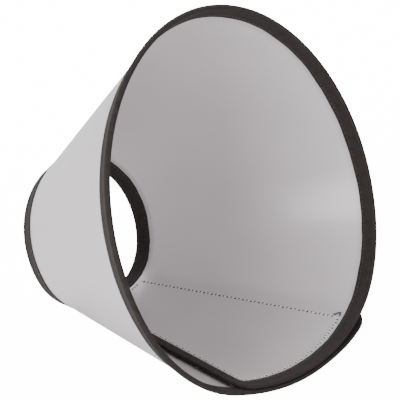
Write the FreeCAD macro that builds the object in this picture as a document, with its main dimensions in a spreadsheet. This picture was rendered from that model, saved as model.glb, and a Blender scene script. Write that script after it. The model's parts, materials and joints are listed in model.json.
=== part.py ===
"""Elizabethan collar: one sheet of frosted plastic rolled into a truncated cone and bound with tape.

Millimetres and degrees. The collar lies on its lap, the way a cone with a flattened lap comes to rest:
+Z is up, the wide rim faces -Y, the neck opening faces +Y, and the floor is Z = 0. The sheet is divided
along generatrices into panels, so that it can unroll: each panel is a piece of a circular cone, and
neighbouring panels share one generatrix and one tangent plane. The chain runs from the inner flap, up
the +X side, over the crown, down the -X side and under to the outer flap, which overlaps the inner one.
"""
import FreeCAD, Part
import math
import os
import re

import Sketcher

# Driving dimensions. Each has its own alias on the sheet "Sizes".
DRIVING = {
    "neck_slant": 111.4,  # apex of the cone to the sheet's neck edge, along the inner flap
    "sheet_depth": 158.0,  # neck edge to rim edge, along a generatrix
    "skin": 0.5,  # thickness of the plastic sheet
    "tape": 0.6,  # thickness of the folded binding tape
    "tape_inside": 8.4,  # width of the binding on the inner face
    "tape_outside": 11.0,  # width of the binding on the outer face
    "floor_press": 0.45,  # how far the collar's weight presses in the tape that it stands on
    "lap_half_angle": 36.0,  # half-angle of the flattened lap's cone
    "lap_span": 44.4,  # turn of each flap about its own cone's axis
    "corner_half_angle": 17.8,  # half-angle of the tight corner beside the lap
    "corner_span": 49.8,
    "loop_pile": 0.9,  # thickness of the soft loop panel
    "hook_height": 0.9,  # thickness of the hook strip
    "hook_width": 25.0,  # width of the hook strip along the outer flap's edge
    "lap_clearance": 0.4,  # air left between the closed fastener's faces
    "patch_margin": 1.0,  # air between a patch and the tape beside it
    "patch_turn": 1.6,  # air between the loop panel and its flap's hinge line, as a turn
    "hinge_gap": 0.2,  # turn left open between neighbouring panels
    "stitch_length": 2.4,
    "stitch_width": 0.7,
    "stitch_height": 0.35,
    "stitch_pitch": 4.0,
    "stitch_inset": 2.0,  # stitch line to the patch's edge
    "stitch_relief": 0.03,  # keeps a straight stitch clear of the curved sheet
    "knot_radius": 1.0,
}
CROWN_PANELS = 4
PATCH_CUT = 400.0  # side of the cutting rectangles, larger than the collar
EDGE_TURN = 14.0  # turn that is wide enough to hold a binding at the narrow neck
NEIGHBOUR_TURN = 46.0  # turn that is wide enough to hold the hook strip at the narrow neck

X_AXIS = FreeCAD.Vector(1, 0, 0)
Y_AXIS = FreeCAD.Vector(0, 1, 0)
Z_AXIS = FreeCAD.Vector(0, 0, 1)
# Turns a cone's own frame so that its axis faces -Y and its radius at the start points down.
LYING_DOWN = FreeCAD.Rotation(FreeCAD.Matrix(0, 1, 0, 0, 0, 0, -1, 0, -1, 0, 0, 0, 0, 0, 0, 1))

doc = FreeCAD.newDocument("elizabethan_collar")
sheet = doc.addObject("Spreadsheet::Sheet", "Sizes")


def put_sizes(values, first_row):
    """Write each value and its alias to the sheet, one row each."""
    for row, (alias, value) in enumerate(values.items(), first_row):
        sheet.set(f"A{row}", alias)
        sheet.set(f"B{row}", str(value))
        sheet.setAlias(f"B{row}", alias)
    doc.recompute()


def size(expression):
    """The value of an expression in the sheet's aliases, such as "skin / 2"."""
    result = sheet.evalExpression(expression)
    return float(getattr(result, "Value", result))


def about(axis, degrees):
    return FreeCAD.Rotation(axis, degrees)


def generatrix(half_angle, turn=0.0):
    """Direction of a cone's generatrix in the cone's own frame, its axis along Z."""
    return about(Z_AXIS, turn).multVec(about(Y_AXIS, half_angle).multVec(Z_AXIS))


def outward(half_angle, turn=0.0):
    """Outward normal of the cone's surface at the same generatrix."""
    return about(Z_AXIS, turn).multVec(about(Y_AXIS, half_angle).multVec(X_AXIS))


put_sizes(DRIVING, 1)


def crown_shape():
    """Half-angle and whole turn of the crown that closes the chain, by symmetry about the plane X = 0."""
    lap = size("lap_half_angle")
    corner = size("corner_half_angle")
    start = LYING_DOWN * about(Y_AXIS, -lap) * about(Z_AXIS, size("lap_span") / 2)
    end = start * about(Y_AXIS, lap - corner) * about(Z_AXIS, size("corner_span")) * about(Y_AXIS, corner)
    half_angle = math.degrees(math.atan2(end.multVec(Z_AXIS).x, end.multVec(X_AXIS).x))
    crown = end * about(Y_AXIS, -half_angle)
    half_turn = math.degrees(math.atan2(-crown.multVec(X_AXIS).x, crown.multVec(Y_AXIS).x)) % 180.0
    return half_angle, 2.0 * half_turn


crown_half_angle, crown_turn = crown_shape()
put_sizes(
    {
        "crown_half_angle": crown_half_angle,
        "crown_span": crown_turn / CROWN_PANELS,
        "lap_offset": size("skin + loop_pile + hook_height + lap_clearance"),
    },
    len(DRIVING) + 1,
)

# Each panel in the order of the chain, with the stretch whose half-angle and span it has.
PANELS = [
    ("inner_flap", "lap"),
    ("right_corner", "corner"),
    ("right_shoulder", "crown"),
    ("right_crown", "crown"),
    ("left_crown", "crown"),
    ("left_shoulder", "crown"),
    ("left_corner", "corner"),
    ("outer_flap", "lap"),
]


def chain_turns():
    """Rotation of each panel's cone. Z is the cone's axis and the panel starts in the XZ plane."""
    turns = [LYING_DOWN * about(Y_AXIS, -size("lap_half_angle")) * about(Z_AXIS, -size("lap_span") / 2)]
    for (_, before), (_, after) in zip(PANELS, PANELS[1:]):
        bend = size(f"{before}_half_angle - {after}_half_angle")
        turns.append(turns[-1] * about(Z_AXIS, size(f"{before}_span")) * about(Y_AXIS, bend))
    return turns


def chain_slides(turns):
    """How far each panel's apex slides along the generatrix it shares with the panel before it.

    Two mirrored pairs of slides, one low and one high on the sides, carry the outer flap's apex back
    along the lap's axis by just so much that the outer flap lies lap_offset outside the inner one.
    """
    starts = [
        turn.multVec(generatrix(size(f"{stretch}_half_angle"))) for turn, (_, stretch) in zip(turns, PANELS)
    ]
    low_pair = starts[1] + starts[7]
    high_pair = starts[3] + starts[5]
    back = size("lap_offset") / math.sin(math.radians(size("lap_half_angle")))
    move = turns[0].multVec(Z_AXIS) * -back
    area = low_pair.y * high_pair.z - low_pair.z * high_pair.y
    low = (move.y * high_pair.z - move.z * high_pair.y) / area
    high = (low_pair.y * move.z - low_pair.z * move.y) / area
    return starts, [0.0, low, 0.0, high, 0.0, high, 0.0, low]


turns = chain_turns()
starts, slides = chain_slides(turns)
apexes = [FreeCAD.Vector(0, 0, 0)]
reach = [0.0]
for start, slide in zip(starts[1:], slides[1:]):
    apexes.append(apexes[-1] + start * slide)
    reach.append(reach[-1] - slide)
put_sizes(
    {f"reach_{name}": value for (name, _), value in zip(PANELS, reach)},
    len(DRIVING) + 4,
)


def panel_frame(index, turn=0.0):
    """Placement of a panel's cone, with the XZ plane turned about the cone's axis."""
    return FreeCAD.Placement(apexes[index], turns[index] * about(Z_AXIS, turn))


def origin_feature(body, role):
    return next(feature for feature in body.Origin.OriginFeatures if feature.Role == role)


def draw_outline(sketch, corners):
    """Draw a closed outline of level and upright lines, and bind each line to its expression.

    Each corner is a pair of expressions, across and along. Lines alternate, the first one level.
    """
    points = [FreeCAD.Vector(size(across), size(along), 0) for across, along in corners]
    first = sketch.GeometryCount
    count = len(points)
    for index, point in enumerate(points):
        sketch.addGeometry(Part.LineSegment(point, points[(index + 1) % count]), False)
    for index in range(count):
        line = first + index
        following = first + (index + 1) % count
        sketch.addConstraint(Sketcher.Constraint("Coincident", line, 2, following, 1))
        level = index % 2 == 0
        sketch.addConstraint(Sketcher.Constraint("Horizontal" if level else "Vertical", line))
        expression = corners[index][1 if level else 0]
        value = size(expression)
        ends = (-1, 1, line, 1) if value > 0 else (line, 1, -1, 1)
        kind = "DistanceY" if level else "DistanceX"
        place = sketch.addConstraint(Sketcher.Constraint(kind, *ends, abs(value)))
        sketch.renameConstraint(place, f"place_{line}")
        bound = re.sub("[a-z_]+", lambda alias: f"Sizes.{alias.group()}", expression)
        sketch.setExpression(f"Constraints.place_{line}", bound if value > 0 else f"-({bound})")


def cone_sketch(body, name, stretch, corners):
    """A section in the plane of the starting generatrix: across is outward, along is up the slant."""
    sketch = body.newObject("Sketcher::SketchObject", name)
    sketch.AttachmentSupport = (origin_feature(body, "XZ_Plane"), [""])
    sketch.MapMode = "FlatFace"
    half_angle = f"{stretch}_half_angle"
    tilt = FreeCAD.Rotation(FreeCAD.Vector(0, 0, -1), size(half_angle))
    sketch.AttachmentOffset = FreeCAD.Placement(FreeCAD.Vector(0, 0, 0), tilt)
    sketch.setExpression("AttachmentOffset.Rotation.Angle", f"Sizes.{half_angle}")
    draw_outline(sketch, corners)
    return sketch


def revolve(body, name, kind, sketch, angle, backwards=False):
    """A Revolution or a Groove of a section about the cone's axis, over the turn the expression gives."""
    feature = body.newObject(kind, name)
    feature.Profile = (sketch, [""])
    feature.ReferenceAxis = (origin_feature(body, "Z_Axis"), [""])
    feature.Reversed = backwards
    feature.setExpression("Angle", angle)
    return feature


def new_body(label, placement):
    body = doc.addObject("PartDesign::Body", label)
    body.Label = label
    body.Placement = placement
    return body


def rectangle(inner, outer, low, high):
    return [(inner, low), (outer, low), (outer, high), (inner, high)]


def keep_band(body, low, high):
    """Cut away everything below and above a band across the body, given as heights over its XZ plane."""
    sketch = body.newObject("Sketcher::SketchObject", "Beyond")
    sketch.AttachmentSupport = (origin_feature(body, "XY_Plane"), [""])
    sketch.MapMode = "FlatFace"
    side = str(PATCH_CUT)
    for near, far in ((low, f"{low} - {side}"), (high, f"{high} + {side}")):
        draw_outline(sketch, rectangle("-" + side, side, near, far))
    doc.recompute()
    volume = body.Shape.Volume
    pocket = body.newObject("PartDesign::Pocket", "Trim")
    pocket.Profile = (sketch, [""])
    pocket.Type = "ThroughAll"
    pocket.Midplane = True
    doc.recompute()
    if not 0.0 < body.Shape.Volume < volume:
        raise RuntimeError(f"{body.Label}: the trim cuts nothing or everything")


# ---- the sheet and the bindings of its long edges --------------------------------------------------


def slant(edge, index):
    """Expression of an edge's distance from the panel's own apex."""
    reach_name = f"reach_{PANELS[index][0]}"
    if edge == "neck":
        return f"neck_slant + {reach_name}"
    return f"neck_slant + sheet_depth + {reach_name}"


def edge_turns(index):
    """Turn at which the panel's wall starts, and the expression of how far it goes."""
    span = f"Sizes.{PANELS[index][1]}_span"
    if index == 0:
        return 0.0, f"{span} - Sizes.hinge_gap / 2"
    start = size("hinge_gap / 2")
    if index == len(PANELS) - 1:
        return start, f"{span} - Sizes.hinge_gap / 2"
    return start, f"{span} - Sizes.hinge_gap"


def panel_piece(label, index, corners):
    """One panel-wide piece: its section carried round the panel's cone."""
    start, angle = edge_turns(index)
    body = new_body(label, panel_frame(index, start))
    sketch = cone_sketch(body, "Section", PANELS[index][1], corners)
    revolve(body, "Wall", "PartDesign::Revolution", sketch, angle)
    return body


def sheet_panel(index):
    corners = rectangle("-skin / 2", "skin / 2", slant("neck", index), slant("rim", index))
    return panel_piece(f"sheet_{PANELS[index][0]}", index, corners)


def folded_tape(edge, index):
    """A U of tape over the sheet's edge, its outer leg wider than its inner one."""
    end = slant(edge, index)
    back = "-" if edge == "rim" else "+"
    past = "+" if edge == "rim" else "-"
    inside = f"{end} {back} tape_inside"
    outside = f"{end} {back} tape_outside"
    closed = f"{end} {past} tape"
    face = "skin / 2"
    cover = "skin / 2 + tape"
    corners = [
        ("-skin / 2 - tape", inside),
        ("-skin / 2", inside),
        ("-skin / 2", end),
        (face, end),
        (face, outside),
        (cover, outside),
        (cover, closed),
        ("-skin / 2 - tape", closed),
    ]
    return rectilinear(corners)


def rectilinear(corners):
    """Start an outline of level and upright lines at the start of a level line."""
    return corners if corners[0][1] == corners[1][1] else corners[1:] + corners[:1]


def press_flat(body, index, edge):
    """Press the binding's outer face flat where the collar stands on it, along the lap's middle."""
    sketch = body.newObject("Sketcher::SketchObject", "Foot")
    sketch.AttachmentSupport = (origin_feature(body, "XZ_Plane"), [""])
    sketch.MapMode = "FlatFace"
    middle = size("lap_span / 2") - edge_turns(index)[0]
    tilt = FreeCAD.Rotation(FreeCAD.Vector(0, 0, -1), size("lap_half_angle"))
    sketch.AttachmentOffset = FreeCAD.Placement(FreeCAD.Vector(0, 0, 0), about(Y_AXIS, middle) * tilt)
    end = slant(edge, index)
    low = f"{end} - 2 * tape_outside"
    high = f"{end} + 2 * tape_outside"
    face = "skin / 2 + tape - floor_press"
    draw_outline(sketch, rectangle(face, "skin / 2 + 2 * tape", low, high))
    doc.recompute()
    volume = body.Shape.Volume
    pocket = body.newObject("PartDesign::Pocket", "Press")
    pocket.Profile = (sketch, [""])
    pocket.Type = "ThroughAll"
    pocket.Midplane = True
    doc.recompute()
    if not 0.9 < body.Shape.Volume / volume < 0.999:
        raise RuntimeError(f"{body.Label}: the foot is missing or cuts too much")


pieces = []
for index, (name, _) in enumerate(PANELS):
    pieces.append(sheet_panel(index))
    for edge in ("rim", "neck"):
        binding = panel_piece(f"{edge}_binding_{name}", index, folded_tape(edge, index))
        if name == "outer_flap":
            press_flat(binding, index, edge)
        pieces.append(binding)


# ---- the flaps' straight edges, the hook-and-loop fastener and the sewing ---------------------------


def between_tapes(index, margin):
    """Expressions of the slants between the neck's and the rim's outer legs, less a margin."""
    low = f"{slant('neck', index)} + tape_outside + ({margin})"
    high = f"{slant('rim', index)} - tape_outside - ({margin})"
    return low, high


def edge_binding(label, index):
    """Tape folded over a flap's straight free edge, between the rim's and the neck's bindings."""
    outer = index > 0
    body = new_body(label, panel_frame(index, size("lap_span") if outer else 0.0))
    low, high = between_tapes(index, "lap_clearance")
    cover = rectangle("-skin / 2 - tape", "skin / 2 + tape", low, high)
    wall = revolve(
        body,
        "Wall",
        "PartDesign::Revolution",
        cone_sketch(body, "Section", "lap", cover),
        str(2 * EDGE_TURN),
    )
    wall.Midplane = True
    if outer:
        keep_band(body, "-tape_inside", "tape")
    else:
        keep_band(body, "-tape", "tape_inside")
    volume = body.Shape.Volume
    slot = rectangle("-skin / 2", "skin / 2", low + " - tape", high + " + tape")
    sketch = cone_sketch(body, "Slot", "lap", slot)
    revolve(body, "SheetSlot", "PartDesign::Groove", sketch, str(EDGE_TURN), backwards=outer)
    doc.recompute()
    if not 0.3 < body.Shape.Volume / volume < 0.95:
        raise RuntimeError(f"{label}: the slot for the sheet is missing")
    return body


def loop_panel():
    """Soft loop cloth on the inner flap's outer face, from the edge tape to the flap's hinge line."""
    body = new_body("loop_panel", panel_frame(0))
    low, high = between_tapes(0, "patch_margin")
    sketch = cone_sketch(body, "Section", "lap", rectangle("skin / 2", "skin / 2 + loop_pile", low, high))
    revolve(body, "Cloth", "PartDesign::Revolution", sketch, "Sizes.lap_span - Sizes.patch_turn")
    keep_band(body, "tape_inside + patch_margin", str(PATCH_CUT))
    return body


def hook_strip():
    """Strip of hooks on the outer flap's inner face, beside its free edge."""
    index = len(PANELS) - 1
    body = new_body("hook_strip", panel_frame(index, size("lap_span")))
    low, high = between_tapes(index, "patch_margin")
    section = rectangle("-skin / 2 - hook_height", "-skin / 2", low, high)
    sketch = cone_sketch(body, "Section", "lap", section)
    revolve(body, "Tape", "PartDesign::Revolution", sketch, str(NEIGHBOUR_TURN), backwards=True)
    near = "-tape_inside - patch_margin"
    keep_band(body, f"{near} - hook_width", near)
    return body


def stitch_box(index, turn, along, side, crosswise):
    """One stitch on a flap's face, lying along the generatrix or across it."""
    length = size("stitch_length")
    width = size("stitch_width")
    height = size("stitch_height")
    over, up = (length, width) if crosswise else (width, length)
    box = Part.makeBox(height, over, up, FreeCAD.Vector(0, -over / 2, -up / 2))
    lift = size("skin / 2 + stitch_relief") * side - (height if side < 0 else 0.0)
    half_angle = size("lap_half_angle")
    centre = generatrix(half_angle) * along + outward(half_angle) * lift
    box.Placement = panel_frame(index, turn) * FreeCAD.Placement(centre, about(Y_AXIS, half_angle))
    return box


def stitch_rows(index, side, edges):
    """Stitches round a patch. Edges give each straight side's height over the flap's starting plane."""
    low, high = (size(text) for text in between_tapes(index, "patch_margin + stitch_inset"))
    radius = math.sin(math.radians(size("lap_half_angle")))
    pitch = size("stitch_pitch")
    boxes = []

    def turn_at(edge, along):
        start, height = edge
        return start + math.degrees(math.asin(height / (along * radius)))

    rows = int((high - low) / pitch)
    for edge in edges:
        for row in range(rows + 1):
            along = low + (high - low) * row / rows
            boxes.append(stitch_box(index, turn_at(edge, along), along, side, False))
    for along in (low, high):
        first, last = (turn_at(edge, along) for edge in edges)
        columns = int(math.radians(last - first) * along * radius / pitch)
        for column in range(1, columns):
            turn = first + (last - first) * column / columns
            boxes.append(stitch_box(index, turn, along, side, True))
    return boxes


def sewn_feature(label, shapes):
    feature = doc.addObject("Part::Feature", label)
    feature.Label = label
    feature.Shape = Part.makeCompound(shapes)
    return feature


inset = size("patch_margin + stitch_inset")
lap_end = size("lap_span")
loop_edges = [(0.0, size("tape_inside") + inset), (lap_end - size("patch_turn"), -size("stitch_inset"))]
hook_start = -size("tape_inside") - inset
hook_edges = [(lap_end, hook_start - size("hook_width") + 2 * size("stitch_inset")), (lap_end, hook_start)]

pieces.append(edge_binding("edge_binding_inner_flap", 0))
pieces.append(edge_binding("edge_binding_outer_flap", len(PANELS) - 1))
pieces.append(loop_panel())
pieces.append(hook_strip())
pieces.append(sewn_feature("loop_panel_stitching", stitch_rows(0, -1, loop_edges)))
pieces.append(sewn_feature("hook_strip_stitching", stitch_rows(len(PANELS) - 1, 1, hook_edges)))


def thread_knot():
    """The knot that ends the loop panel's sewing, on the flap's inner face beside the rim."""
    knot = doc.addObject("Part::Sphere", "thread_knot")
    knot.Label = "thread_knot"
    knot.setExpression("Radius", "Sizes.knot_radius")
    half_angle = size("lap_half_angle")
    along = size(f"{slant('rim', 0)} - tape_outside - patch_margin")
    drop = size("skin / 2 + stitch_height + stitch_relief + knot_radius")
    centre = generatrix(half_angle) * along - outward(half_angle) * drop
    turn = size("lap_span - patch_turn")
    knot.Placement = panel_frame(0, turn) * FreeCAD.Placement(centre, about(Y_AXIS, half_angle))
    return knot


pieces.append(thread_knot())
doc.recompute()

# ---- stand the collar on the floor, over its own middle ---------------------------------------------

whole = FreeCAD.BoundBox()
for piece in pieces:
    whole.add(piece.Shape.optimalBoundingBox(False))
shift = FreeCAD.Vector(-whole.Center.x, -whole.Center.y, -whole.ZMin)
for piece in pieces:
    piece.Placement = FreeCAD.Placement(shift, FreeCAD.Rotation()) * piece.Placement
doc.recompute()


def hinge_lines():
    """A point and the direction of each shared generatrix, on the outer face of the tape."""
    lines = []
    for index in range(1, len(PANELS)):
        half_angle = size(f"{PANELS[index][1]}_half_angle")
        point = size(slant("neck", index))
        along = turns[index].multVec(generatrix(half_angle))
        normal = turns[index].multVec(outward(half_angle))
        lines.append((shift + apexes[index] + along * point + normal * size("skin / 2 + tape"), along))
    return lines


for made in doc.Objects:
    if "Invalid" in made.State or "Error" in made.State:
        raise RuntimeError(f"{made.Name} failed: {made.State}")
os.makedirs("parts", exist_ok=True)
for piece in pieces:
    if piece.Shape.isNull() or not piece.Shape.isValid():
        raise RuntimeError(f"{piece.Label} has no valid shape")
    piece.Shape.exportStep(f"parts/{piece.Label}.step")
print(len(pieces), "pieces, crown half-angle", round(crown_half_angle, 2), "turn", round(crown_turn, 2))
print("box", whole.XLength, whole.YLength, whole.ZLength)
for (name, _), (point, along) in zip(PANELS[1:], hinge_lines()):
    print("hinge", name, tuple(round(v, 2) for v in point), tuple(round(v, 4) for v in along))
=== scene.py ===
"""Elizabethan collar: the visual model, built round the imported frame.

Metres and degrees. The collar is one sheet of frosted plastic rolled into a truncated cone, bound with
folded tape on all four edges, and closed by a loop panel and a strip of hooks on its two lapped flaps.
Every surface is a function of three numbers: the turn round the wall, counted in panels from the inner
flap's free edge, the distance along the generatrix from the neck edge, and the offset from the sheet's
middle plane.
"""
import json
import logging
import math
from collections.abc import Sequence
from dataclasses import dataclass, field
from enum import Enum

import bpy
import numpy as np
from mathutils import Matrix, Vector


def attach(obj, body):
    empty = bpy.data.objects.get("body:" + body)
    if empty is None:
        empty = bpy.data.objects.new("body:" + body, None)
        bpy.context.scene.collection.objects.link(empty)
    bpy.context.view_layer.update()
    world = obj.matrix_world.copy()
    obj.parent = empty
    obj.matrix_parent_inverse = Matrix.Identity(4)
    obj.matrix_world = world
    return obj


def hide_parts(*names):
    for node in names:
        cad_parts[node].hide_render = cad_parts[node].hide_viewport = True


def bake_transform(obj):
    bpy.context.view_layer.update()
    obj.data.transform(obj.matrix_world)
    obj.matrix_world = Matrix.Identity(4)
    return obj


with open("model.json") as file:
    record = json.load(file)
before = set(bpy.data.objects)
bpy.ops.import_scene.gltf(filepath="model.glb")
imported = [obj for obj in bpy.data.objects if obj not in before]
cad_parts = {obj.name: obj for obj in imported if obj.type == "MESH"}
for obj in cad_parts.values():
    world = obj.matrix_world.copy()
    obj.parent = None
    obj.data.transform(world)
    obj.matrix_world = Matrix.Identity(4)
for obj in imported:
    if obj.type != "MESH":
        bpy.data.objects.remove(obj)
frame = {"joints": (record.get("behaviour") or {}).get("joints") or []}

log = logging.getLogger("collar")
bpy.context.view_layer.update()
MM = 0.001
Y_AXIS, Z_AXIS = 1, 2
FLAP_END = 0.75  # turn at which a flap stops being rigid
STITCH_SPAN = 0.3  # share of a pitch, either way, over which a stitch takes its direction


class Edge(Enum):
    """The sheet's two curved edges, with the way from the edge into the sheet along a generatrix."""

    RIM = -1
    NECK = 1


class Face(Enum):
    """The sheet's two faces, with the sign of their offset from its middle plane."""

    OUTER = 1
    INNER = -1


# ---- the sheet and how it is wrapped ----------------------------------------------------------------


@dataclass(frozen=True)
class SheetCut:
    """Driving sizes of the sheet and its tape, in metres, and of its wrap, in degrees."""

    neck_slant: float = 111.4 * MM
    depth: float = 158.0 * MM
    skin: float = 0.5 * MM
    tape: float = 0.6 * MM
    tape_inside: float = 8.4 * MM
    tape_outside: float = 11.0 * MM
    corner_round: float = 12.0 * MM
    lap_half_angle: float = 36.0
    lap_span: float = 44.4
    corner_half_angle: float = 17.8
    corner_span: float = 49.8
    crown_panels: int = 4
    lap_offset: float = 2.7 * MM
    relaxed_from: float = 7.6  # turn from which the outer flap's free end uncurls
    relaxed_rise: float = 6.2 * MM  # how far its edge stands off
    relaxed_reach: float = 0.10  # how much further round its edge lies, as a turn
    relaxed_power: float = 1.5  # how sharply the rise grows towards the edge

    @property
    def cover(self) -> float:
        """Offset of the tape's outer surface from the sheet's middle plane."""
        return self.skin / 2 + self.tape


def rotation(axis: int, degrees: float) -> np.ndarray:
    """The matrix of a right-handed turn about a main axis."""
    return np.array(Matrix.Rotation(math.radians(degrees), 3, "XYZ"[axis]))


def smooth_step(value: np.ndarray, start: float, end: float) -> np.ndarray:
    """A rise from 0 to 1 between two values, level at both: three squares less two cubes of the share."""
    share = np.clip((value - start) / (end - start), 0.0, 1.0)
    return share * share * (3.0 - 2.0 * share)


def unit(vectors: np.ndarray) -> np.ndarray:
    """Vectors scaled to length one along the last axis."""
    return vectors / np.linalg.norm(vectors, axis=-1, keepdims=True)


def travelled(line: np.ndarray) -> np.ndarray:
    """Distance along a line of points from its first one."""
    return np.concatenate([[0.0], np.cumsum(np.linalg.norm(np.diff(line, axis=0), axis=1))])


class Wrap:
    """The chain of cone panels that the sheet is wrapped on, worked out as the CAD model does.

    Neighbouring cones share one generatrix and one tangent plane. The crown's half-angle and turn close
    the chain by symmetry, and two mirrored pairs of apex slides carry the outer flap outside the inner.
    """

    PANELS = (
        "inner_flap",
        "right_corner",
        "right_shoulder",
        "right_crown",
        "left_crown",
        "left_shoulder",
        "left_corner",
        "outer_flap",
    )

    def __init__(self, cut: SheetCut) -> None:
        """Work out every panel's half-angle, span, rotation, apex and reach."""
        self.cut = cut
        lying_down = np.array([[0.0, 1.0, 0.0], [0.0, 0.0, -1.0], [-1.0, 0.0, 0.0]])
        crown_half_angle, crown_span = self._crown(lying_down)
        crown = cut.crown_panels
        half_angles = [cut.lap_half_angle, cut.corner_half_angle] + [crown_half_angle] * crown
        half_angles += [cut.corner_half_angle, cut.lap_half_angle]
        spans = [cut.lap_span, cut.corner_span] + [crown_span] * crown + [cut.corner_span, cut.lap_span]
        self.half_angle = np.radians(half_angles)
        self.span = np.radians(spans)
        turns = [lying_down @ rotation(Y_AXIS, -cut.lap_half_angle) @ rotation(Z_AXIS, -cut.lap_span / 2)]
        for before, after, span in zip(half_angles, half_angles[1:], spans):
            turns.append(turns[-1] @ rotation(Z_AXIS, span) @ rotation(Y_AXIS, before - after))
        self.rotations = np.array(turns)
        self._slide_apexes()
        self.shift = np.zeros(3)
        peel = next(joint for joint in frame["joints"] if joint["name"] == "flap_peel")
        last = len(self.PANELS) - 1
        self.shift = np.array(peel["pos_m"]) - self.place(float(last), 0.0, cut.cover)

    def _crown(self, lying_down: np.ndarray) -> tuple[float, float]:
        """Half-angle of the crown's cones and each panel's turn, by symmetry about the plane X = 0."""
        cut = self.cut
        start = lying_down @ rotation(Y_AXIS, -cut.lap_half_angle) @ rotation(Z_AXIS, cut.lap_span / 2)
        end = start @ rotation(Y_AXIS, cut.lap_half_angle - cut.corner_half_angle)
        end = end @ rotation(Z_AXIS, cut.corner_span) @ rotation(Y_AXIS, cut.corner_half_angle)
        half_angle = math.degrees(math.atan2(end[0, 2], end[0, 0]))
        crown = end @ rotation(Y_AXIS, -half_angle)
        half_turn = math.degrees(math.atan2(-crown[0, 0], crown[0, 1])) % 180.0
        return half_angle, 2.0 * half_turn / cut.crown_panels

    def _slide_apexes(self) -> None:
        """Slide the apexes along the shared generatrices, so that the outer flap clears the inner."""
        starts = [
            turn @ np.array([math.sin(half), 0.0, math.cos(half)])
            for turn, half in zip(self.rotations, self.half_angle)
        ]
        low_pair = starts[1] + starts[7]
        high_pair = starts[3] + starts[5]
        back = self.cut.lap_offset / math.sin(self.half_angle[0])
        move = self.rotations[0][:, 2] * -back
        area = low_pair[1] * high_pair[2] - low_pair[2] * high_pair[1]
        low = (move[1] * high_pair[2] - move[2] * high_pair[1]) / area
        high = (low_pair[1] * move[2] - low_pair[2] * move[1]) / area
        slides = np.array([0.0, low, 0.0, high, 0.0, high, 0.0, low])
        self.apexes = np.cumsum(slides[:, None] * np.array(starts), axis=0)
        self.reach = -np.cumsum(slides)

    def _panel(self, turn: np.ndarray) -> np.ndarray:
        """Index of the panel that a turn falls in; a turn past either end stays on the end panel."""
        return np.clip(np.floor(turn).astype(int), 0, len(self.PANELS) - 1)

    def slant(self, panel: int, along: float = 0.0) -> float:
        """Distance from a panel's own apex to a point that far along from the neck edge."""
        return self.cut.neck_slant + self.reach[panel] + along

    def place(self, turn: np.ndarray, along: np.ndarray, off: np.ndarray) -> np.ndarray:
        """Points of the wrapped sheet, in the row frame.

        A point is its panel's apex plus the slant times the generatrix plus the offset times the
        outward normal, both turned about the cone's axis by the panel's span times the turn's share.
        The outer flap's free end uncurls: its offset and its reach grow towards the end, and the
        offset also grows with the square of the distance along, so that the rim's corner stands off.

        Args:
            turn: Turn round the wall, counted in panels from the inner flap's free edge.
            along: Distance from the neck edge along the generatrix.
            off: Offset from the sheet's middle plane, outwards positive.

        Returns:
            The points, with one more axis than the arguments.
        """
        turn, along, off = np.broadcast_arrays(np.asarray(turn, float), along, off)
        panel = self._panel(turn)
        held = self.cut.relaxed_from
        free = np.clip((turn - held) / (len(self.PANELS) - held), 0.0, None)
        opened = np.clip(along / self.cut.depth, 0.0, 1.0) ** 2
        off = off + self.cut.relaxed_rise * free**self.cut.relaxed_power * opened
        angle = (turn - panel + self.cut.relaxed_reach * free * free) * self.span[panel]
        half = self.half_angle[panel]
        slant = self.slant(panel, along)
        radial = slant * np.sin(half) + off * np.cos(half)
        axial = slant * np.cos(half) - off * np.sin(half)
        local = np.stack([radial * np.cos(angle), radial * np.sin(angle), axial], -1)
        turned = np.einsum("...ij,...j->...i", self.rotations[panel], local)
        return self.shift + self.apexes[panel] + turned

    def normal(self, turn: np.ndarray) -> np.ndarray:
        """Outward unit normals of the wrapped sheet at a turn, the same all along a generatrix."""
        turn = np.asarray(turn, float)
        return (self.place(turn, 0.0, MM) - self.place(turn, 0.0, 0.0)) / MM

    def turn_from_edge(self, panel: int, ahead: np.ndarray, slant: np.ndarray) -> np.ndarray:
        """Turn of the points that stand a set distance from a flap's free edge.

        The distance over the cone's radius there is the sine of the angle about the cone's axis.
        """
        angle = np.arcsin(ahead / (slant * math.sin(self.half_angle[panel])))
        share = angle / self.span[panel]
        return share if panel == 0 else len(self.PANELS) - share


@dataclass(frozen=True)
class Strip:
    """A stretch of the wall that one body carries, or that bends between two across a hinge."""

    name: str
    start: float
    end: float
    bodies: tuple[str, ...]

    def turns(self, columns: int) -> np.ndarray:
        """Evenly spaced turns from the strip's start to its end."""
        return np.linspace(self.start, self.end, columns)

    def nodes(self, kind: str) -> list[str]:
        """The CAD nodes of one kind that this strip stands for."""
        return [f"{kind}_{body}" for body in self.bodies]


def wall_strips() -> list[Strip]:
    """The nine strips in the order of the chain: a rigid flap, seven hinge strips, a rigid flap."""
    names = Wrap.PANELS
    last = len(names)
    cuts = [FLAP_END] + [k + 0.5 for k in range(1, last - 1)] + [last - FLAP_END]
    strips = [Strip(names[0], 0.0, FLAP_END, names[:1])]
    for k, (start, end) in enumerate(zip(cuts, cuts[1:]), 1):
        strips.append(Strip(f"bend_{names[k - 1]}_{names[k]}", start, end, (names[k - 1], names[k])))
    strips.append(Strip(names[-1], last - FLAP_END, float(last), names[-1:]))
    return strips


# ---- meshes -----------------------------------------------------------------------------------------


@dataclass
class Surface:
    """A mesh as arrays: points, faces, each point's turn round the wall and its texture place."""

    points: np.ndarray
    faces: list[np.ndarray]
    turn: np.ndarray
    uv: np.ndarray
    normals: np.ndarray | None = None


def grid_faces(rows: int, columns: int) -> np.ndarray:
    """Quads of a grid of points stored row by row."""
    corner = np.arange((rows - 1) * columns).reshape(rows - 1, columns)[:, :-1].ravel()
    return np.stack([corner, corner + 1, corner + columns + 1, corner + columns], 1)


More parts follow.
